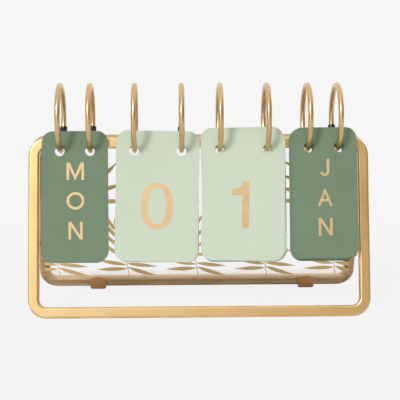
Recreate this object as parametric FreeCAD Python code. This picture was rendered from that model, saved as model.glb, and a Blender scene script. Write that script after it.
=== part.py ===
import FreeCAD, Part
import math
import os

# A perpetual desk calendar. Two equal loops of brass bar lean together as an
# easel. Eight wire rings hold the loops together at the top and carry four
# stacks of cards. A clear panel is clipped inside the rear loop.
# X runs to the right, Y away from the reader, Z up. The desk is Z = 0.
# Lengths are in millimetres, angles in degrees.

# Easel loops
frame_width = 240.0
frame_length = 127.0        # along the slope, over both bars
bar_width = 7.8             # across the loop, as seen from the front
bar_depth = 5.8             # through the loop
frame_corner_radius = 13.0  # outside
inner_corner_radius = 5.3   # inside
bar_edge_round = 1.6
front_lean = 15.4           # from upright
top_gap = 0.5               # between the two loops at the top
rear_rise = 0.4             # the rear loop's top stands this much higher
foot_flat = 0.4             # depth ground off where a foot meets the desk

# Clear panel in the rear loop
glass_thickness = 1.8
glass_inset = 2.0           # from the loop's outside edge
glass_edge_round = 0.4
glass_ring_clearance = 0.8  # below the rings

# Spring clips that hold the panel
clip_thickness = 0.8
clip_width = 12.0
clip_front_lip = 11.5
clip_rear_lip = 5.0
clip_peak = 1.6             # height of the lip's gable
clip_corner_cut = 1.4
left_clip_inset = 44.0      # from the loop's left end to the middle of its bottom clip
right_clip_inset = 36.8     # and from its right end
side_clip_drop = 94.0       # down the slope to the side clips

# Card rings
ring_radius = 22.95         # to the middle of the wire
wire_diameter = 3.8
ring_rise = 14.2            # ring centre above the front loop's top edge
ring_opening = 2.0          # between the wire's two ends, under its sleeve

# Rubber sleeves that close the rings
sleeve_clearance = 0.05
sleeve_wall = 0.65
sleeve_length = 9.0
sleeve_end_round = 0.45

# Cards
card_height = 92.0
narrow_card_width = 46.0
wide_card_width = 58.4
card_thickness = 0.5
card_corner_radius = 8.0
card_hole_diameter = 7.3
card_hole_drop = 14.0       # from the card's top edge to its holes
first_card_clearance = 0.3  # between the rearmost card and the front loop

# Stacks of cards, side by side over the loops' middle, and how far apart the
# holes and the two rings of each one are
row_shift = 1.3             # the gap between tens and units lies this far right
tens_units_gap = 1.8
weekday_tens_gap = 6.1
units_month_gap = 3.7
narrow_hole_spacing = 21.1
wide_hole_spacing = 33.2
tens_middle = row_shift - tens_units_gap / 2.0 - wide_card_width / 2.0
units_middle = row_shift + tens_units_gap / 2.0 + wide_card_width / 2.0
side_by_side = (wide_card_width + narrow_card_width) / 2.0
weekday_middle = tens_middle - side_by_side - weekday_tens_gap
month_middle = units_middle + side_by_side + units_month_gap

# Each stack: the pitch of its cards, the angle of each sleeve's top end from the
# ring's top, and how each card happens to hang in its loose holes, front card
# first: its sideways shift, its lower hole's drop below the wire, and its tilt.
stacks = [
    {"name": "weekday", "middle": weekday_middle,
     "spacing": narrow_hole_spacing, "width": narrow_card_width,
     "pitch": 0.62, "sleeves": (112.5, 112.5),
     "cards": ((0.2, 1.45, 0.4), (-0.3, 1.4, -0.3), (0.1, 1.35, 0.2), (-0.2, 1.4, 0.0))},
    {"name": "tens", "middle": tens_middle,
     "spacing": wide_hole_spacing, "width": wide_card_width,
     "pitch": 0.9, "sleeves": (127.0, 114.0),
     "cards": ((0.0, 1.5, -1.3), (-0.4, 1.45, -0.5))},
    {"name": "units", "middle": units_middle,
     "spacing": wide_hole_spacing, "width": wide_card_width,
     "pitch": 0.75, "sleeves": (124.0, 125.0),
     "cards": ((0.0, 1.5, -1.1), (-1.1, -0.35, 1.2), (-0.3, 1.3, -0.4), (0.3, 1.4, 0.3),
               (-0.2, 1.4, 0.0))},
    {"name": "month", "middle": month_middle,
     "spacing": narrow_hole_spacing, "width": narrow_card_width,
     "pitch": 1.0, "sleeves": (121.0, 110.5),
     "cards": ((0.4, 0.7, 0.3), (-1.0, 1.1, -0.2), (-0.8, 1.0, 0.1), (-1.0, 1.1, -0.1),
               (-0.9, 1.0, 0.2), (-0.7, 1.1, 0.0))},
]

# Sizes worked out from the ones above
wire_radius = wire_diameter / 2.0
half_gap = top_gap / 2.0
lean = math.radians(front_lean)
edge_lift = bar_edge_round * (math.cos(lean) + math.sin(lean) - 1.0)
front_top_z = frame_length * math.cos(lean) - edge_lift - foot_flat
rear_top_z = front_top_z + rear_rise
clip_reach = frame_length + clip_thickness
clip_stand = glass_thickness + clip_thickness
rear_slope = math.acos((rear_top_z + foot_flat) / math.hypot(clip_reach, clip_stand))
rear_slope += math.atan2(clip_stand, clip_reach)
rear_lean = math.degrees(rear_slope)
ring_z = front_top_z + ring_rise
front_reach = half_gap + (bar_depth - bar_edge_round) * math.cos(lean)
front_reach += (frame_length - bar_edge_round) * math.sin(lean) + bar_edge_round
rear_reach = half_gap + (bar_depth + clip_thickness) * math.cos(rear_slope)
rear_reach += clip_reach * math.sin(rear_slope)
footprint_middle = (rear_reach - front_reach) / 2.0
sleeve_radius = wire_radius + sleeve_clearance + sleeve_wall
card_hole_radius = card_hole_diameter / 2.0
equal_within = 1e-6         # lengths closer than this are the same

origin = FreeCAD.Vector(0, 0, 0)
x_axis = FreeCAD.Vector(1, 0, 0)
over_the_top = FreeCAD.Vector(-1, 0, 0)   # turns from the front, up and over to the rear
ring_centre = FreeCAD.Vector(0, 0, ring_z)

os.makedirs("parts", exist_ok=True)


def save(shape, node):
    """Writes a piece, moved so that the easel's footprint is centred on the origin."""
    shape.translate(FreeCAD.Vector(0, -footprint_middle, 0))
    shape.exportStep("parts/" + node + ".step")


def rounded_plate(width, height, radius, thickness):
    """A plate in the XZ plane with its top edge at Z 0, centred on X, its front at Y 0."""
    half = width / 2.0
    arc = radius * math.sqrt(0.5)
    corners = [(half - radius, -radius, 1, 1), (half - radius, radius - height, 1, -1),
               (radius - half, radius - height, -1, -1), (radius - half, -radius, -1, 1)]
    edges = []
    points = []
    for x, z, side, up in corners:
        level = FreeCAD.Vector(x + side * radius, 0, z)
        upright = FreeCAD.Vector(x, 0, z + up * radius)
        middle = FreeCAD.Vector(x + side * arc, 0, z + up * arc)
        first, last = (upright, level) if side == up else (level, upright)
        edges.append(Part.Arc(first, middle, last).toShape())
        points.append((first, last))
    sides = []
    for index in range(4):
        start = points[index][1]
        end = points[(index + 1) % 4][0]
        sides.append(Part.makeLine(start, end))
    outline = []
    for arc_edge, side_edge in zip(edges, sides):
        outline += [arc_edge, side_edge]
    face = Part.Face(Part.Wire(outline))
    return face.extrude(FreeCAD.Vector(0, thickness, 0))


def edges_on_faces(solid, planes):
    """The edges that lie wholly at one of the given Y planes."""
    found = []
    for edge in solid.Edges:
        box = edge.BoundBox
        for plane in planes:
            if abs(box.YMin - plane) < equal_within and abs(box.YMax - plane) < equal_within:
                found.append(edge)
    return found


def grind_foot(shape):
    """Cuts a flat where the shape meets the desk."""
    reach = 2.0 * frame_width
    below = Part.makeBox(reach, reach, reach, FreeCAD.Vector(-reach / 2.0, -reach / 2.0, -reach))
    return shape.cut(below)


def place_front(shape):
    shape.rotate(origin, x_axis, -front_lean)
    shape.translate(FreeCAD.Vector(0, -half_gap, front_top_z))
    return shape


def place_rear(shape):
    shape.rotate(origin, x_axis, rear_lean)
    shape.translate(FreeCAD.Vector(0, half_gap, rear_top_z))
    return shape


def bar_loop():
    """One easel loop, flat in the XZ plane, from Y 0 to its depth."""
    loop = rounded_plate(frame_width, frame_length, frame_corner_radius, bar_depth)
    hole = rounded_plate(frame_width - 2 * bar_width, frame_length - 2 * bar_width,
                         inner_corner_radius, bar_depth)
    hole.translate(FreeCAD.Vector(0, 0, -bar_width))
    loop = loop.cut(hole)
    return loop.makeFillet(bar_edge_round, edges_on_faces(loop, (0.0, bar_depth)))


def on_ring(ring_x, angle, radius=ring_radius):
    """The point on a ring at an angle from its top, counted towards the rear."""
    turn = math.radians(angle)
    return FreeCAD.Vector(ring_x, radius * math.sin(turn), ring_z + radius * math.cos(turn))


def ring_section(ring_x, angle, radius):
    """A round face across the ring's wire at an angle."""
    turn = math.radians(angle)
    along = FreeCAD.Vector(0, math.cos(turn), -math.sin(turn))
    return Part.Face(Part.Wire(Part.makeCircle(radius, on_ring(ring_x, angle), along)))


def ring_angle(length):
    """The angle that a length along the wire takes up."""
    return math.degrees(length / ring_radius)


def card_ring(ring_x, opening_angle):
    """An open wire ring whose ends face each other at the opening."""
    half_opening = ring_angle(ring_opening) / 2.0
    section = ring_section(ring_x, opening_angle + half_opening, wire_radius)
    ring = section.revolve(ring_centre, over_the_top, 360.0 - 2.0 * half_opening)
    return Part.Solid(ring.Shells[0]) if ring.ShapeType != "Solid" else ring


def ring_sleeve(ring_x, opening_angle):
    """A short rubber tube bent round the wire over the ring's opening."""
    sweep = ring_angle(sleeve_length)
    start = opening_angle - sweep / 2.0
    outer = ring_section(ring_x, start, sleeve_radius)
    tube = outer.revolve(ring_centre, over_the_top, sweep)
    circles = [edge for edge in tube.Edges if isinstance(edge.Curve, Part.Circle)]
    ends = [edge for edge in circles if abs(edge.Curve.Radius - sleeve_radius) < equal_within]
    tube = tube.makeFillet(sleeve_end_round, ends)
    bore = ring_section(ring_x, start - sweep, wire_radius + sleeve_clearance)
    return tube.cut(bore.revolve(ring_centre, over_the_top, 3.0 * sweep))


def bottom_clip():
    """A spring clip in the rear loop's own plane, on the middle of its bottom bar."""
    half = clip_width / 2.0
    lip_top = clip_front_lip - clip_peak
    outline = [(-half, clip_corner_cut), (-half, lip_top), (0.0, clip_front_lip), (half, lip_top),
               (half, clip_corner_cut), (half - clip_corner_cut, 0.0),
               (clip_corner_cut - half, 0.0), (-half, clip_corner_cut)]
    foot_z = -clip_reach
    front_y = -clip_stand
    points = [FreeCAD.Vector(x, front_y, foot_z + z) for x, z in outline]
    lip = Part.Face(Part.makePolygon(points)).extrude(FreeCAD.Vector(0, clip_thickness, 0))
    web_width = clip_width - 2.0 * clip_corner_cut
    web_depth = clip_stand + bar_depth + clip_thickness
    web = Part.makeBox(web_width, web_depth, clip_thickness,
                       FreeCAD.Vector(-web_width / 2.0, front_y, foot_z))
    rear_lip = Part.makeBox(web_width, clip_thickness, clip_rear_lip + clip_thickness,
                            FreeCAD.Vector(-web_width / 2.0, bar_depth, foot_z))
    return lip.fuse([web, rear_lip]).removeSplitter()


def side_clip(side):
    """The same clip turned onto the loop's side bar; side is -1 for left, 1 for right."""
    clip = bottom_clip()
    clip.translate(FreeCAD.Vector(0, 0, frame_length))
    clip.rotate(origin, FreeCAD.Vector(0, 1, 0), -90.0 * side)
    clip.translate(FreeCAD.Vector(side * frame_width / 2.0, 0, -side_clip_drop))
    return clip


def card_blank(width, hole_spacing):
    """A card with its back face at Y 0, its holes' middle at the origin."""
    card = rounded_plate(width, card_height, card_corner_radius, card_thickness)
    card.translate(FreeCAD.Vector(0, -card_thickness, card_hole_drop))
    for side in (-1, 1):
        start = FreeCAD.Vector(side * hole_spacing / 2.0, -2 * card_thickness, 0)
        card = card.cut(Part.makeCylinder(card_hole_radius, 3 * card_thickness, start,
                                          FreeCAD.Vector(0, 1, 0)))
    return card


def card_place(back_offset, hang):
    """Where a card's holes lie when its back is this far in front of the loop."""
    along_slope = FreeCAD.Vector(0, -math.sin(lean), -math.cos(lean))
    outward = FreeCAD.Vector(0, -math.cos(lean), math.sin(lean))
    face = FreeCAD.Vector(0, -half_gap, front_top_z) + outward * bar_depth
    back_from_centre = (face - ring_centre).dot(outward) + back_offset
    middle_from_centre = back_from_centre + card_thickness / 2.0
    wire_drop = math.sqrt(ring_radius ** 2 - middle_from_centre ** 2)
    return ring_centre + outward * back_from_centre + along_slope * (wire_drop + hang)


def stack_rings(stack):
    """The side, place along X and sleeve angle of a stack's two rings."""
    half = stack["spacing"] / 2.0
    return zip(("left", "right"), (stack["middle"] - half, stack["middle"] + half), stack["sleeves"])


def stack_card(stack, number):
    """One card of a stack, leaning in front of the easel; number 1 is the front card."""
    shift, drop, tilt = stack["cards"][number - 1]
    from_rear = len(stack["cards"]) - number
    hang = drop - stack["spacing"] / 2.0 * math.sin(math.radians(abs(tilt)))
    card = card_blank(stack["width"], stack["spacing"])
    card.rotate(origin, FreeCAD.Vector(0, -1, 0), tilt)
    card.rotate(origin, x_axis, -front_lean)
    place = card_place(first_card_clearance + from_rear * stack["pitch"], hang)
    place.x = stack["middle"] + shift
    card.translate(place)
    return card


# Easel
front_frame = bar_loop()
front_frame.translate(FreeCAD.Vector(0, -bar_depth, 0))
front_frame = grind_foot(place_front(front_frame))
rear_frame = place_rear(bar_loop())

# Rings and sleeves, with a saddle in both top bars under every ring
for stack in stacks:
    for side, ring_x, sleeve_top in stack_rings(stack):
        opening_angle = sleeve_top + ring_angle(sleeve_length) / 2.0
        ring = card_ring(ring_x, opening_angle)
        front_frame = front_frame.cut(ring)
        rear_frame = rear_frame.cut(ring)
        save(ring, stack["name"] + "_ring_" + side)
        save(ring_sleeve(ring_x, opening_angle), stack["name"] + "_sleeve_" + side)

save(front_frame, "front_frame")
save(rear_frame, "rear_frame")

# Panel, its top edge just below the rings
ring_bottom = rear_top_z - (ring_z - ring_radius - wire_radius)
glass_top = (ring_bottom + glass_ring_clearance) / math.cos(rear_slope)
glass_height = frame_length - glass_inset - glass_top
glass = rounded_plate(frame_width - 2 * glass_inset, glass_height,
                      frame_corner_radius - glass_inset, glass_thickness)
glass = glass.makeFillet(glass_edge_round, edges_on_faces(glass, (0.0, glass_thickness)))
glass.translate(FreeCAD.Vector(0, -glass_thickness, -glass_top))
save(place_rear(glass), "glass_panel")

# Clips
for side, sign, clip_inset in (("left", -1, left_clip_inset), ("right", 1, right_clip_inset)):
    clip = bottom_clip()
    clip.translate(FreeCAD.Vector(sign * (frame_width / 2.0 - clip_inset), 0, 0))
    save(grind_foot(place_rear(clip)), "bottom_clip_" + side)
    save(place_rear(side_clip(sign)), "side_clip_" + side)

# Cards, counted from the front of each stack
for stack in stacks:
    for number in range(1, len(stack["cards"]) + 1):
        save(stack_card(stack, number), stack["name"] + "_card_" + str(number))
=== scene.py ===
import math

import bmesh
import bpy
from mathutils import Matrix, Vector


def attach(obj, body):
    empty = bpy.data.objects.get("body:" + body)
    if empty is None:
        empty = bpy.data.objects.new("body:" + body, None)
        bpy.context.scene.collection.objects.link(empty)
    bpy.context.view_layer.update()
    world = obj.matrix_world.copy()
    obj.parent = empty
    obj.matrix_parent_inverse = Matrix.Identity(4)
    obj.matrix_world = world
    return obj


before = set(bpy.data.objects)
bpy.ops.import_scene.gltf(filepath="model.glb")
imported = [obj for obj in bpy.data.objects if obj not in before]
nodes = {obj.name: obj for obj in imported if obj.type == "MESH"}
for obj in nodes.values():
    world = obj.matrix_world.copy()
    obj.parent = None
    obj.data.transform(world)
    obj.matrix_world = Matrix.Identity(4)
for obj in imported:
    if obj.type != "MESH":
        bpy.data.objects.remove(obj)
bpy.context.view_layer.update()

# A perpetual desk calendar: a brass easel with a clear printed panel, and four
# stacks of cards on eight wire rings. The solids come from the frame. This
# script adds the lettering, the leaf print and the finishes, in metres.

mm = 0.001

# Camera, at the photograph's viewing angle
view_elevation = math.radians(11.35)
view_azimuth = math.radians(-1.55)
view_distance = 0.760
view_target = Vector((0.93, -3.21, 76.4)) * mm
view_lens = 95.0

# Lettering
foil_thickness = 0.02 * mm
foil_step = 0.003 * mm         # each stroke lies this much higher than the one before
letter_height = 12.3 * mm
letter_pitch = 20.8 * mm       # down the card, from letter to letter
letter_pen = 0.074             # half the stroke, as a share of the height
letters_down = 3.1 * mm        # the middle letter's place below the card's middle
digit_height = 32.5 * mm
digit_pen_wide = 0.077         # half of an upright stroke
digit_pen_thin = 0.055         # half of a level stroke
digit_down = 7.1 * mm
mitre_limit = 2.2              # longest corner of a stroke, in half strokes
same_place = 1e-6              # points closer than this, or this near a cut, are one

# What is printed on the front and back of each card, front card first
card_words = {
    "weekday": (("MON", "FRI"), ("TUE", "SAT"), ("WED", "SUN"), ("THU", "")),
    "tens": (("0", "2"), ("1", "3")),
    "units": (("1", "6"), ("2", "7"), ("3", "8"), ("4", "9"), ("5", "0")),
    "month": (("JAN", "JUL"), ("FEB", "AUG"), ("MAR", "SEP"),
              ("APR", "OCT"), ("MAY", "NOV"), ("JUN", "DEC")),
}

# Leaf print on the clear panel: two rows of sprigs. Each leaf pair has its place
# along the stem, and how far its left and right leaf rise from level, in degrees.
sprig_pitch = 52.4 * mm
leaf_slender = 0.14            # width as a share of the length
leaf_belly = 0.8               # below 1, a leaf is widest nearer its root
leaf_sweep = 0.07              # how much a leaf curls up, as a share of its length
leaf_shrink = 0.2              # how much shorter the leaves are at the top of the stem
leaf_stagger = 0.03            # how much higher a pair's right leaf grows, as a share of the stem
tip_leaf = 0.35                # the leaf at the tip, as a share of the others
tip_turn = 100.0               # its direction, in degrees from the right
stem_curl = 0.5                # how much more the stem bows towards its tip
stem_steps = 16
stem_width = 0.6 * mm
print_margin = 2.5 * mm        # left bare round the panel's edge
panel_corner = 11.0 * mm       # radius of the panel's corners
sprig_rows = [
    {"count": 5, "middle": 0.4 * mm, "foot": 8.5 * mm, "height": 43.0 * mm, "bow": 0.13,
     "leaf": 25.0 * mm,
     "pairs": ((0.16, -2, -19), (0.24, 12, -7), (0.40, 38, 12), (0.57, 47, 26), (0.75, 55, 40),
               (0.90, 62, 54))},
    {"count": 4, "middle": 2.5 * mm, "foot": 66.0 * mm, "height": 42.0 * mm, "bow": 0.0,
     "leaf": 27.0 * mm,
     "pairs": ((0.16, 4, 0), (0.35, 10, 18), (0.55, 16, 42), (0.75, 24, 54), (0.92, 40, 64))}]

# Studio: the even light on the object, and the colours that its metal reflects
backdrop = (0.92, 0.92, 0.92, 1.0)
room_even = (0.62, 0.62, 0.62, 1.0)
room_window = (1.25, 1.56, 1.82, 1.0)
room_right = (0.42, 0.33, 0.22, 1.0)
room_side = (0.28, 0.27, 0.26, 1.0)
room_white = (0.95, 0.95, 0.95, 1.0)
floor_colour = (0.86, 0.86, 0.86, 1.0)
floor_radius = 6.0
fade_start = 0.15              # from here out the floor fades into the backdrop
fade_end = 0.45
fade_least = 0.93              # how far it has faded nearer the object
mirror_start = 0.10            # the same for the floor that metal reflects
mirror_end = 0.50
mirror_most = 0.9
sun_strength = 1.45
sun_spread = math.radians(14.0)
sun_direction = (-0.42, -0.70, 0.57)


# Shared helpers

def deselect_all():
    """Leaves nothing selected, in object mode."""
    if bpy.context.object and bpy.context.object.mode != "OBJECT":
        bpy.ops.object.mode_set(mode="OBJECT")
    bpy.ops.object.select_all(action="DESELECT")


def make_active(obj):
    """Selects one object alone."""
    deselect_all()
    obj.select_set(True)
    bpy.context.view_layer.objects.active = obj


def card_nodes():
    """Every card's stack name, number from the front, and node name."""
    for stack, words in card_words.items():
        for number in range(1, len(words) + 1):
            yield stack, number, f"{stack}_card_{number}"


def plate_place(node, side):
    """A flat plate's own axes on its front (side -1) or back (side 1) face.

    The first column runs across the face as its reader sees it, the second up
    and the third out of it. The origin is the middle of the face.
    """
    mesh = nodes[node].data
    normals = [face.normal for face in sorted(mesh.polygons, key=lambda face: -face.area)]
    out = next(n for n in normals if n.y * side > 0.5).normalized()
    across = next(n for n in normals if abs(n.dot(out)) < 0.1 and n.x * side < -0.5).normalized()
    up = out.cross(across)
    middle = Vector((0.0, 0.0, 0.0))
    for axis in (across, up):
        reach = [axis.dot(v.co) for v in mesh.vertices]
        middle += axis * (min(reach) + max(reach)) / 2.0
    middle += out * max(out.dot(v.co) for v in mesh.vertices)
    place = Matrix((across, up, out)).transposed().to_4x4()
    place.translation = middle
    return place


def plate_size(node):
    """A flat plate's width and height."""
    mesh = nodes[node].data
    place = plate_place(node, -1).inverted()
    flat = [place @ v.co for v in mesh.vertices]
    return (max(p.x for p in flat) - min(p.x for p in flat),
            max(p.y for p in flat) - min(p.y for p in flat))


# Strokes and print

def bow(x, y, wide, high, start, end, steps=18, square=1.0):
    """Points along part of an ellipse, between two angles in degrees from the right.

    It is squarer than an ellipse with square below 1.
    """
    points = []
    for i in range(steps + 1):
        turn = math.radians(start + (end - start) * i / steps)
        level, upright = math.cos(turn), math.sin(turn)
        points.append((x + wide * math.copysign(abs(level) ** square, level),
                       y + high * math.copysign(abs(upright) ** square, upright)))
    return points


def letter_strokes():
    """Each capital as pen strokes, one unit high, centred on X.

    Slanted strokes run past the base line and the top, where they are trimmed.
    """
    t = letter_pen
    top = 1.0 - t
    high = 0.5 - t
    over = 1.04
    under = -0.04
    return {
        "A": [[(-0.37, under), (0, 0.87), (0.37, under)], [(-0.27, 0.32), (0.27, 0.32)]],
        "B": [[(-0.26, 0), (-0.26, 1)],
              [(-0.26, top), *bow(0.04, 0.76, 0.20, 0.24 - t, 90, -90), (-0.26, 0.52)],
              [(-0.26, 0.52), *bow(0.06, 0.26 + t / 2, 0.23, 0.26 - t / 2, 90, -90), (-0.26, t)]],
        "C": [bow(0.04, 0.5, 0.42, high, 48, 312)],
        "D": [[(-0.32, 0), (-0.32, 1)],
              [(-0.32, top), *bow(-0.06, 0.5, 0.40, high, 90, -90), (-0.32, t)]],
        "E": [[(-0.24, 0), (-0.24, 1)], [(-0.24, top), (0.27, top)],
              [(-0.24, 0.52), (0.21, 0.52)], [(-0.24, t), (0.27, t)]],
        "F": [[(-0.22, 0), (-0.22, 1)], [(-0.22, top), (0.27, top)],
              [(-0.22, 0.50), (0.21, 0.50)]],
        "G": [[*bow(0.02, 0.5, 0.43, high, 48, 352), (0.45, 0.46), (0.12, 0.46)]],
        "H": [[(-0.32, 0), (-0.32, 1)], [(0.32, 0), (0.32, 1)], [(-0.32, 0.52), (0.32, 0.52)]],
        "I": [[(0, 0), (0, 1)]],
        "J": [[(0.20, 1), (0.20, 0.30), *bow(0, 0.30, 0.20, 0.30 - t, -8, -165)]],
        "L": [[(-0.20, 1), (-0.20, t)], [(-0.20 - t, t), (0.28, t)]],
        "M": [[(-0.42, 0), (-0.42, 1)], [(0.42, 0), (0.42, 1)],
              [(-0.42, over), (0, 0.12), (0.42, over)]],
        "N": [[(-0.325, 0), (-0.325, 1)], [(0.325, 0), (0.325, 1)], [(-0.35, over), (0.35, under)]],
        "O": [bow(0, 0.5, 0.43, high, 0, 360, 48)],
        "P": [[(-0.24, 0), (-0.24, 1)],
              [(-0.24, top), *bow(0.06, 0.74, 0.22, 0.26 - t, 90, -90), (-0.24, 0.48 + t)]],
        "R": [[(-0.26, 0), (-0.26, 1)],
              [(-0.26, top), *bow(0.04, 0.74, 0.22, 0.26 - t, 90, -90), (-0.26, 0.48 + t)],
              [(0.02, 0.50), (0.33, under)]],
        "S": [[*bow(0, 0.74, 0.21, 0.26 - t, 28, 270), *bow(0, 0.27, 0.25, 0.28 - t, 84, -156)]],
        "T": [[(0, 0), (0, 1)], [(-0.32, top), (0.32, top)]],
        "U": [[(-0.31, 1), (-0.31, 0.36), *bow(0, 0.36, 0.31, 0.36 - t, 188, 352), (0.31, 0.36),
               (0.31, 1)]],
        "V": [[(-0.38, over), (0, 0.13), (0.38, over)]],
        "W": [[(-0.57, over), (-0.28, 0.13), (0, 0.90), (0.28, 0.13), (0.57, over)]],
        "Y": [[(-0.37, over), (0, 0.48), (0.37, over)], [(0, 0.50), (0, 0)]],
    }


def digit_strokes():
    """Each digit as pen strokes, one unit high, centred on X."""
    w = digit_pen_wide
    t = digit_pen_thin
    top = 1.0 - t
    six = [bow(0, 0.32, 0.33 - w, 0.32 - t, 0, 360, 48),
           [(0.17, 1.02), (0.04, 0.86), (-0.10, 0.68), (-0.20, 0.50), (w - 0.33, 0.32)]]
    nine = [[(-x, 1.0 - y) for x, y in stroke] for stroke in six]
    return {
        "0": [bow(0, 0.5, 0.344 - w, 0.5 - t, 0, 360, 72, 0.84)],
        "1": [[(0.052, 0), (0.052, 1)]],
        "2": [[*bow(0, 0.72, 0.24, 0.28 - t, 165, -32), (-0.22, t)], [(-0.30, t), (0.30, t)]],
        "3": [bow(-0.02, 0.755, 0.22, 0.245 - t, 150, -90),
              bow(-0.02, 0.27, 0.26, 0.27 - t, 90, -155)],
        "4": [[(0.13, 0), (0.13, 1)], [(0.13, 0.98), (-0.29, 0.28)], [(-0.36, 0.27), (0.33, 0.27)]],
        "5": [[(0.25, top), (-0.19, top)], [(-0.16, 1), (-0.20, 0.55)],
              bow(-0.03, 0.325, 0.28, 0.325 - t, 128, -150)],
        "6": six,
        "7": [[(-0.30, top), (0.25, top), (-0.09, -0.02)]],
        "8": [bow(0, 0.755, 0.20, 0.245 - t, 0, 360, 40),
              bow(0, 0.27, 0.26, 0.27 - t, 0, 360, 40)],
        "9": nine,
    }


# The thick flag at the top of the figure one, as a filled outline
flag_of_one = [(-0.250, 0.712), (-0.250, 0.832), (-0.120, 0.852), (-0.030, 0.918), (0.030, 1.0),
               (0.052, 1.0), (0.052, 0.700)]


def draw_stroke(sheet, points, pen_wide, pen_high, level=0.0):
    """Adds a flat ribbon along the points, as a pen with an oval nib would draw it."""
    closed = (Vector(points[0]) - Vector(points[-1])).length < same_place
    path = [Vector(p) for p in (points[:-1] if closed else points)]
    count = len(path)
    rails = []
    for i, point in enumerate(path):
        before = path[i - 1] if i or closed else None
        after = path[(i + 1) % count] if i + 1 < count or closed else None
        into = (point - before).normalized() if before else (after - point).normalized()
        away = (after - point).normalized() if after else into
        normals = [Vector((-d.y, d.x)) for d in (into, away)]
        middle = (normals[0] + normals[1]).normalized()
        middle /= max(middle.dot(normals[0]), 1.0 / mitre_limit)
        step = Vector((middle.x * pen_wide, middle.y * pen_high))
        rails.append([sheet.verts.new((*(point + side * step), level)) for side in (1, -1)])
    for i in range(count if closed else count - 1):
        here, there = rails[i], rails[(i + 1) % count]
        sheet.faces.new((here[0], here[1], there[1], there[0]))


def fill_outline(sheet, points, level):
    """Adds one flat face with the given outline."""
    sheet.faces.new([sheet.verts.new((*point, level)) for point in points])


def trim_past(sheet, direction, distance):
    """Cuts off what lies further than a distance in a direction of the sheet."""
    everything = [*sheet.verts, *sheet.edges, *sheet.faces]
    bmesh.ops.bisect_plane(sheet, geom=everything, dist=same_place, clear_outer=True,
                           plane_co=direction * distance, plane_no=direction)


def thicken_print(obj):
    """Gives a flat print its thickness, its open side out of the card."""
    make_active(obj)
    bpy.ops.object.mode_set(mode="EDIT")
    bpy.ops.mesh.select_all(action="SELECT")
    bpy.ops.mesh.extrude_region_move(TRANSFORM_OT_translate={"value": (0, 0, foil_thickness)})
    bpy.ops.mesh.select_all(action="SELECT")
    bpy.ops.mesh.normals_make_consistent(inside=False)
    bpy.ops.object.mode_set(mode="OBJECT")
    deselect_all()


def print_object(name, sheet, place, body, material):
    """Turns a flat sheet of ribbons into a finished print at its place."""
    mesh = bpy.data.meshes.new(name)
    sheet.to_mesh(mesh)
    sheet.free()
    obj = bpy.data.objects.new(name, mesh)
    bpy.context.collection.objects.link(obj)
    thicken_print(obj)
    mesh.transform(place)
    mesh.materials.append(material)
    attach(obj, body)


def draw_symbol(symbol, height, row):
    """One letter or figure as a flat mesh, its middle at a height of the card."""
    digit = symbol.isdigit()
    shapes = digit_strokes() if digit else letter_strokes()
    wide = digit_pen_wide if digit else letter_pen
    high = digit_pen_thin if digit else letter_pen
    sheet = bmesh.new()
    for index, points in enumerate(shapes[symbol]):
        draw_stroke(sheet, points, wide, high, index * foil_step)
    if symbol == "1":
        fill_outline(sheet, flag_of_one, foil_step)
    trim_past(sheet, Vector((0, 1, 0)), 1.0)
    trim_past(sheet, Vector((0, -1, 0)), 0.0)
    bmesh.ops.scale(sheet, vec=(height, height, 1.0), verts=sheet.verts)
    bmesh.ops.translate(sheet, vec=(0, row - height / 2.0, 0), verts=sheet.verts)
    mesh = bpy.data.meshes.new("symbol")
    sheet.to_mesh(mesh)
    sheet.free()
    return mesh


def print_word(word, name, place, body, material):
    """A word down a narrow card, or one digit on a wide one."""
    if word.isdigit():
        height, rows = digit_height, [-digit_down]
    else:
        height = letter_height
        rows = [letter_pitch * (1 - i) - letters_down for i in range(len(word))]
    sheet = bmesh.new()
    for symbol, row in zip(word, rows):
        mesh = draw_symbol(symbol, height, row)
        sheet.from_mesh(mesh)
        bpy.data.meshes.remove(mesh)
    print_object(name, sheet, place, body, material)


def print_cards(material):
    """The words and figures on both sides of every card."""
    for stack, number, node in card_nodes():
        for side, face, word in zip((-1, 1), ("front", "back"), card_words[stack][number - 1]):
            if word:
                print_word(word, f"{node}_{face}_print", plate_place(node, side), node, material)


def draw_leaf(sheet, root, direction, length, level):
    """A slender pointed leaf that curls up towards its tip."""
    along = Vector((math.cos(direction), math.sin(direction)))
    beside = Vector((-along.y, along.x)) * math.copysign(1.0, along.x)
    steps = 12
    rims = ([], [])
    for i in range(steps + 1):
        share = i / steps
        half = leaf_slender / 2.0 * length * math.sin(math.pi * share ** leaf_belly)
        sweep = -leaf_sweep * length * math.sin(math.pi * share) * math.sin(abs(direction))
        spine = root + along * length * share + beside * sweep
        for rim, side in zip(rims, (1, -1)):
            if 0 < i < steps or side > 0:
                rim.append(sheet.verts.new((*(spine + beside * half * side), level)))
    sheet.faces.new([*rims[0], *reversed(rims[1])])


def draw_sprig(sheet, foot, row):
    """A stem, bowed a little to the left, with its leaves in pairs and one at its tip."""
    def stem(share):
        aside = -row["bow"] * share * (1.0 + stem_curl * share)
        return foot + row["height"] * Vector((aside, share))

    points = [tuple(stem(i / stem_steps)) for i in range(stem_steps + 1)]
    draw_stroke(sheet, points, stem_width / 2.0, stem_width / 2.0)
    for index, (share, left_rise, right_rise) in enumerate(row["pairs"]):
        size = row["leaf"] * (1.0 - leaf_shrink * share)
        level = (2 * index + 1) * foil_step
        draw_leaf(sheet, stem(share), math.pi - math.radians(left_rise), size, level)
        draw_leaf(sheet, stem(share + leaf_stagger), math.radians(right_rise), size,
                  level + foil_step)
    draw_leaf(sheet, stem(1.0), math.radians(tip_turn), row["leaf"] * tip_leaf, foil_step)


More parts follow.
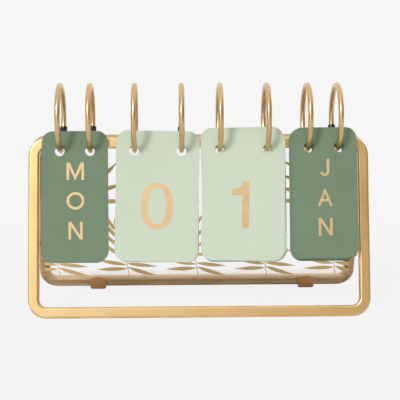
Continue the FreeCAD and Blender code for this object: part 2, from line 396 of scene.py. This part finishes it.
def trim_to_panel(sheet, width, height, radius):
    """Trims a print to the panel's rounded outline, less its bare margin."""
    for turn in range(0, 360, 15):
        direction = Vector((math.cos(math.radians(turn)), math.sin(math.radians(turn)), 0.0))
        reach = (width / 2 - radius) * abs(direction.x) + (height / 2 - radius) * abs(direction.y)
        trim_past(sheet, direction, reach + radius - print_margin)


def print_leaves(material):
    """The rows of leafy sprigs on the panel's front face."""
    width, height = plate_size("glass_panel")
    place = plate_place("glass_panel", -1)
    for name, row in zip(("lower", "upper"), sprig_rows):
        for index in range(row["count"]):
            across = row["middle"] + (index - (row["count"] - 1) / 2.0) * sprig_pitch
            sheet = bmesh.new()
            draw_sprig(sheet, Vector((across, row["foot"] - height / 2.0)), row)
            trim_to_panel(sheet, width, height, panel_corner)
            bmesh.ops.recalc_face_normals(sheet, faces=sheet.faces)
            print_object(f"leaf_sprig_{name}_{index + 1}", sheet, place, "stand", material)


# Shader groups

def new_group(name, inputs, outputs):
    """An empty shader group with named sockets, and its two ends."""
    group = bpy.data.node_groups.new(name, "ShaderNodeTree")
    for label, kind, default in inputs:
        socket = group.interface.new_socket(label, in_out="INPUT", socket_type="NodeSocket" + kind)
        socket.default_value = default
    for label, kind in outputs:
        group.interface.new_socket(label, in_out="OUTPUT", socket_type="NodeSocket" + kind)
    start = group.nodes.new("NodeGroupInput")
    end = group.nodes.new("NodeGroupOutput")
    return group, start, end


def feed(tree, socket, value):
    """Links an input to another node's socket, or gives it a plain value."""
    if isinstance(value, bpy.types.NodeSocket):
        tree.links.new(value, socket)
    else:
        socket.default_value = value


def feed_inputs(tree, node, **values):
    """Feeds a node's inputs by their names, with an underscore for each space."""
    for name, value in values.items():
        feed(tree, node.inputs[name.replace("_", " ")], value)


def add_node(tree, kind, **values):
    """A shader node of a kind, with its inputs by name."""
    node = tree.nodes.new("ShaderNode" + kind)
    feed_inputs(tree, node, **values)
    return node


def remap(tree, source, low, high, to_low, to_high):
    """Spreads a value between two others."""
    node = add_node(tree, "MapRange", Value=source, From_Min=low, From_Max=high,
                    To_Min=to_low, To_Max=to_high)
    return node.outputs["Result"]


def mix_colours(tree, factor, first, second):
    """Mixes two colours."""
    node = add_node(tree, "Mix")
    node.data_type = "RGBA"
    # By number, as the node's sockets for colours and for plain values share their names
    for index, value in ((0, factor), (6, first), (7, second)):
        feed(tree, node.inputs[index], value)
    return node.outputs[2]


def calculate(tree, operation, *values):
    """A sum or another operation on plain values and sockets."""
    node = add_node(tree, "Math")
    node.operation = operation
    for socket, value in zip(node.inputs, values):
        feed(tree, socket, value)
    return node.outputs[0]


def object_noise(tree, scale, detail=3.0):
    """Noise on the piece's own coordinates."""
    coordinates = add_node(tree, "TexCoord")
    noise = add_node(tree, "TexNoise", Vector=coordinates.outputs["Object"], Scale=scale,
                     Detail=detail)
    return noise.outputs["Fac"]


def blend_shaders(tree, amount, first, second):
    """Mixes two shaders and makes the mix the material's surface."""
    blend = add_node(tree, "MixShader")
    for socket, value in zip(blend.inputs, (amount, first, second)):
        feed(tree, socket, value)
    output = next(n for n in tree.nodes if n.type == "OUTPUT_MATERIAL")
    feed(tree, output.inputs["Surface"], blend.outputs["Shader"])


def rim_group():
    """Masks from the way a surface faces: its rounded rims and its side walls."""
    group, start, end = new_group(
        "rims_and_walls", [("Plate Axis", "Vector", (0, 1, 0))],
        [("Rim", "Float"), ("Wall", "Float")])
    facing = add_node(group, "VectorMath")
    facing.operation = "DOT_PRODUCT"
    feed(group, facing.inputs[0], add_node(group, "TexCoord").outputs["Normal"])
    feed(group, facing.inputs[1], start.outputs["Plate Axis"])
    squared = calculate(group, "POWER", calculate(group, "ABSOLUTE", facing.outputs["Value"]), 2.0)
    rest = calculate(group, "SUBTRACT", 1.0, squared)
    rim = calculate(group, "MULTIPLY", calculate(group, "MULTIPLY", squared, rest), 4.0)
    feed_inputs(group, end, Rim=rim, Wall=remap(group, squared, 0.5, 0.1, 0.0, 1.0))
    return group


def grain_group():
    """Blotches of tone, fine grain and handling marks, from three sizes of noise."""
    group, start, end = new_group(
        "tone_and_grain",
        [("Tone", "Color", (1, 1, 1, 1)), ("Blotch", "Color", (1, 1, 1, 1)),
         ("Blotch Scale", "Float", 60.0), ("Blotch Amount", "Float", 0.5),
         ("Grain Scale", "Float", 2500.0), ("Smooth", "Float", 0.3), ("Rough", "Float", 0.4)],
        [("Tone", "Color"), ("Roughness", "Float"), ("Height", "Float")])
    blotch = remap(group, object_noise(group, start.outputs["Blotch Scale"]), 0.35, 0.65, 0.0, 1.0)
    amount = calculate(group, "MULTIPLY", blotch, start.outputs["Blotch Amount"])
    tone = mix_colours(group, amount, start.outputs["Tone"], start.outputs["Blotch"])
    smear = object_noise(group, calculate(group, "MULTIPLY", start.outputs["Blotch Scale"], 0.45))
    roughness = remap(group, smear, 0.3, 0.7, start.outputs["Smooth"], start.outputs["Rough"])
    grain = object_noise(group, start.outputs["Grain Scale"], 2.0)
    feed_inputs(group, end, Tone=tone, Roughness=roughness, Height=grain)
    return group


# Materials

def srgb(red, green, blue):
    """A colour as a picture shows it, from 0 to 255, made linear."""
    channels = []
    for value in (red, green, blue):
        share = value / 255.0
        channels.append(share / 12.92 if share <= 0.04045 else ((share + 0.055) / 1.055) ** 2.4)
    return (*channels, 1.0)


def new_material(name, **values):
    """A material with a Principled shader and its plain socket values."""
    material = bpy.data.materials.new(name)
    material.use_nodes = True
    shader = material.node_tree.nodes["Principled BSDF"]
    feed_inputs(material.node_tree, shader, **values)
    return material, material.node_tree, shader


def add_group(tree, group, **values):
    """A shader group placed in a material, with its inputs by name."""
    node = add_node(tree, "Group")
    node.node_tree = group
    feed_inputs(tree, node, **values)
    return node


def fine_bumps(tree, surface, distance, strength):
    """A normal from the grain of a surface."""
    bump = add_node(tree, "Bump", Height=surface.outputs["Height"], Distance=distance,
                    Strength=strength)
    return bump.outputs["Normal"]


def brass_material(name, grain, rims, tone, blotch, rim_sheen_and_wear, smooth, rough, axis, rim_sheen_and_wear_amount=1.0):
    """Lacquered satin brass whose rounded rims are painted paler in patches, partly wear and partly
    a painted highlight.
    """
    material, tree, shader = new_material(name, Metallic=1.0, Coat_Weight=0.25, Coat_Roughness=0.12)
    surface = add_group(tree, grain, Tone=tone, Blotch=blotch, Blotch_Scale=42.0,
                        Blotch_Amount=0.45, Grain_Scale=2600.0, Smooth=smooth, Rough=rough)
    rim = add_group(tree, rims, Plate_Axis=axis)
    # A paler colour on the rounded rims, in noisy patches: partly wear, partly a painted highlight
    # along the edges.
    patches = remap(tree, object_noise(tree, 130.0), 0.40, 0.62, 0.15 * rim_sheen_and_wear_amount, rim_sheen_and_wear_amount)
    rim_sheen_and_wear_mask = calculate(tree, "MULTIPLY", rim.outputs["Rim"], patches)
    polish = calculate(tree, "MULTIPLY_ADD", rim_sheen_and_wear_mask, -0.10, surface.outputs["Roughness"])
    feed_inputs(tree, shader, Roughness=polish,
                Base_Color=mix_colours(tree, rim_sheen_and_wear_mask, surface.outputs["Tone"], rim_sheen_and_wear),
                Normal=fine_bumps(tree, surface, 0.03 * mm, 0.12))
    return material


def card_material(name, grain, rims, tone, blotch, core, axis):
    """Matt coloured card with a fine paper grain and a paler cut edge."""
    material, tree, shader = new_material(name, Specular_IOR_Level=0.32)
    surface = add_group(tree, grain, Tone=tone, Blotch=blotch, Blotch_Scale=36.0,
                        Blotch_Amount=0.55, Grain_Scale=1900.0, Smooth=0.62, Rough=0.74)
    wall = add_group(tree, rims, Plate_Axis=axis).outputs["Wall"]
    feed_inputs(tree, shader, Roughness=surface.outputs["Roughness"],
                Base_Color=mix_colours(tree, wall, surface.outputs["Tone"], core),
                Normal=fine_bumps(tree, surface, 0.05 * mm, 0.35))
    return material


def rubber_material(grain):
    """Smooth black rubber with a soft shine."""
    material, tree, shader = new_material("black_rubber")
    surface = add_group(tree, grain, Tone=srgb(14, 14, 15), Blotch=srgb(30, 30, 31),
                        Blotch_Scale=300.0, Blotch_Amount=0.4, Grain_Scale=4000.0,
                        Smooth=0.14, Rough=0.24)
    feed_inputs(tree, shader, Base_Color=surface.outputs["Tone"],
                Roughness=surface.outputs["Roughness"],
                Normal=fine_bumps(tree, surface, 0.02 * mm, 0.15))
    return material


def foil_material(name, grain, tone, blotch, roughness):
    """Stamped foil, a little uneven."""
    material, tree, shader = new_material(name, Metallic=0.6)
    surface = add_group(tree, grain, Tone=tone, Blotch=blotch, Blotch_Scale=220.0,
                        Blotch_Amount=0.5, Grain_Scale=3200.0,
                        Smooth=roughness - 0.06, Rough=roughness + 0.06)
    feed_inputs(tree, shader, Base_Color=surface.outputs["Tone"],
                Roughness=surface.outputs["Roughness"],
                Normal=fine_bumps(tree, surface, 0.03 * mm, 0.3))
    return material


def panel_material(rims, axis):
    """Clear panel that mostly lets light straight through, faintly green at its cut edge."""
    material, tree, shader = new_material("clear_panel", Transmission_Weight=1.0, IOR=1.46)
    wall = add_group(tree, rims, Plate_Axis=axis).outputs["Wall"]
    feed_inputs(tree, shader,
                Base_Color=mix_colours(tree, wall, srgb(253, 253, 253), srgb(214, 220, 212)),
                Roughness=remap(tree, object_noise(tree, 26.0), 0.35, 0.70, 0.0, 0.02))
    path = add_node(tree, "LightPath")
    straight = remap(tree, wall, 0.0, 1.0, 0.72, 0.60)
    share = calculate(tree, "MAXIMUM", path.outputs["Is Shadow Ray"], straight)
    clear = add_node(tree, "BsdfTransparent")
    blend_shaders(tree, share, shader.outputs["BSDF"], clear.outputs["BSDF"])
    return material


def finish_nodes(names, material):
    """Puts one material on CAD nodes."""
    for name in names:
        slots = nodes[name].material_slots
        if not slots:
            nodes[name].data.materials.append(material)
        for slot in slots:
            slot.link = "OBJECT"
            slot.material = material


def plate_axis(node):
    """The direction that a flat plate's front faces."""
    return tuple(plate_place(node, -1).to_3x3().col[2])


def nodes_named(*words):
    """The CAD nodes that have one of the words in their name."""
    return [name for name in nodes if any(word in name for word in words)]


def dress_nodes():
    """Gives every CAD node its finish, and the cards and the panel their print."""
    grain = grain_group()
    rims = rim_group()
    front_axis = plate_axis("weekday_card_1")
    rear_axis = plate_axis("glass_panel")
    # The paler rim colour of each brass is partly wear and partly a painted highlight.
    finish_nodes(["front_frame"], brass_material(
        "satin_brass_front", grain, rims, tone=srgb(237, 194, 133), blotch=srgb(226, 180, 119),
        rim_sheen_and_wear=srgb(248, 220, 168), smooth=0.30, rough=0.40, axis=front_axis))
    # The rear frame is the same brass as the front, with darker tones painted on as painted shade.
    finish_nodes(["rear_frame"], brass_material(
        "satin_brass_rear_painted_shade", grain, rims, tone=srgb(205, 170, 128), blotch=srgb(190, 154, 112),
        rim_sheen_and_wear=srgb(226, 198, 160), smooth=0.32, rough=0.42, axis=rear_axis, rim_sheen_and_wear_amount=0.6))
    finish_nodes(nodes_named("_ring_"), brass_material(
        "polished_wire", grain, rims, tone=srgb(222, 187, 139), blotch=srgb(209, 170, 120),
        rim_sheen_and_wear=srgb(226, 192, 144), smooth=0.28, rough=0.36, axis=(1, 0, 0), rim_sheen_and_wear_amount=0.0))
    finish_nodes(nodes_named("_clip_"), brass_material(
        "clip_brass", grain, rims, tone=srgb(226, 176, 122), blotch=srgb(204, 152, 100),
        rim_sheen_and_wear=srgb(232, 188, 136), smooth=0.34, rough=0.44, axis=rear_axis))
    finish_nodes(nodes_named("_sleeve_"), rubber_material(grain))
    finish_nodes(nodes_named("weekday_card", "month_card"), card_material(
        "green_card", grain, rims, tone=srgb(116, 137, 110), blotch=srgb(108, 129, 103),
        core=srgb(160, 176, 152), axis=front_axis))
    finish_nodes(nodes_named("tens_card", "units_card"), card_material(
        "sage_card", grain, rims, tone=srgb(204, 215, 194), blotch=srgb(198, 210, 188),
        core=srgb(226, 232, 220), axis=front_axis))
    finish_nodes(["glass_panel"], panel_material(rims, rear_axis))
    print_cards(foil_material("peach_foil", grain, tone=srgb(222, 189, 142),
                              blotch=srgb(214, 179, 131), roughness=0.46))
    print_leaves(foil_material("leaf_foil", grain, tone=srgb(238, 208, 152),
                               blotch=srgb(222, 190, 134), roughness=0.36))


# Studio

def seen_rays(tree):
    """Masks of the rays that show the backdrop itself, and of those that metal reflects."""
    path = add_node(tree, "LightPath").outputs
    seen = calculate(tree, "MAXIMUM", path["Is Camera Ray"], path["Is Transmission Ray"])
    return seen, path["Is Glossy Ray"]


def reflected_room(tree):
    """What the metal sees: a window front left, white above and behind, dark sides."""
    coordinates = add_node(tree, "TexCoord")
    across, away, up = add_node(
        tree, "SeparateXYZ", Vector=coordinates.outputs["Generated"]).outputs
    front = remap(tree, across, -0.20, 0.20, 1.0, 0.0)
    room = mix_colours(tree, front, room_right, room_window)
    higher = remap(tree, up, 0.26, 0.42, 0.0, 0.6)
    room = mix_colours(tree, higher, room, room_side)
    side = remap(tree, calculate(tree, "ABSOLUTE", across), 0.55, 0.85, 0.0, 1.0)
    room = mix_colours(tree, side, room, room_side)
    room = mix_colours(tree, remap(tree, up, 0.45, 0.85, 0.0, 1.0), room, room_white)
    return mix_colours(tree, remap(tree, away, 0.15, 0.5, 0.0, 1.0), room, room_white)


def make_world():
    """Even light on the object, a plain white backdrop, and a room for the metal to reflect."""
    world = bpy.data.worlds.new("studio")
    bpy.context.scene.world = world
    world.use_nodes = True
    tree = world.node_tree
    seen, glossy = seen_rays(tree)
    colour = mix_colours(tree, glossy, room_even, reflected_room(tree))
    colour = mix_colours(tree, seen, colour, backdrop)
    feed_inputs(tree, tree.nodes["Background"], Color=colour, Strength=1.0)


def make_sun():
    """A soft lamp in front, on the left and above."""
    data = bpy.data.lights.new("window", "SUN")
    data.energy = sun_strength
    data.angle = sun_spread
    lamp = bpy.data.objects.new("window", data)
    lamp.rotation_euler = Vector(sun_direction).to_track_quat("Z", "Y").to_euler()
    bpy.context.collection.objects.link(lamp)


def make_floor():
    """A pale floor that fades into the backdrop away from the object."""
    deselect_all()
    bpy.ops.mesh.primitive_circle_add(vertices=96, radius=floor_radius, fill_type="NGON",
                                      location=(0, 0, 0))
    floor = bpy.context.object
    floor.name = "floor"
    material, tree, shader = new_material("pale_floor", Base_Color=floor_colour, Roughness=0.9,
                                          Specular_IOR_Level=0.1)
    glow = add_node(tree, "Emission", Color=backdrop, Strength=1.0)
    seen, glossy = seen_rays(tree)
    coordinates = add_node(tree, "TexCoord")
    distance = add_node(tree, "VectorMath")
    distance.operation = "LENGTH"
    feed(tree, distance.inputs[0], coordinates.outputs["Object"])
    fade = remap(tree, distance.outputs["Value"], fade_start, fade_end, fade_least, 1.0)
    far = remap(tree, distance.outputs["Value"], mirror_start, mirror_end, 0.0, mirror_most)
    amount = calculate(tree, "MAXIMUM", calculate(tree, "MULTIPLY", seen, fade),
                       calculate(tree, "MULTIPLY", glossy, far))
    blend_shaders(tree, amount, shader.outputs["BSDF"], glow.outputs["Emission"])
    floor.data.materials.append(material)
    deselect_all()


def make_camera():
    """The camera, where the photograph was taken from."""
    data = bpy.data.cameras.new("camera")
    data.sensor_width = 36.0
    data.lens = view_lens
    data.clip_start = 0.01
    camera = bpy.data.objects.new("camera", data)
    back = Vector((math.sin(view_azimuth) * math.cos(view_elevation),
                   -math.cos(view_azimuth) * math.cos(view_elevation),
                   math.sin(view_elevation)))
    camera.location = view_target + back * view_distance
    camera.rotation_euler = back.to_track_quat("Z", "Y").to_euler()
    bpy.context.collection.objects.link(camera)
    bpy.context.scene.camera = camera


bpy.context.scene.view_settings.view_transform = "Standard"
make_camera()
make_world()
make_sun()
make_floor()
dress_nodes()
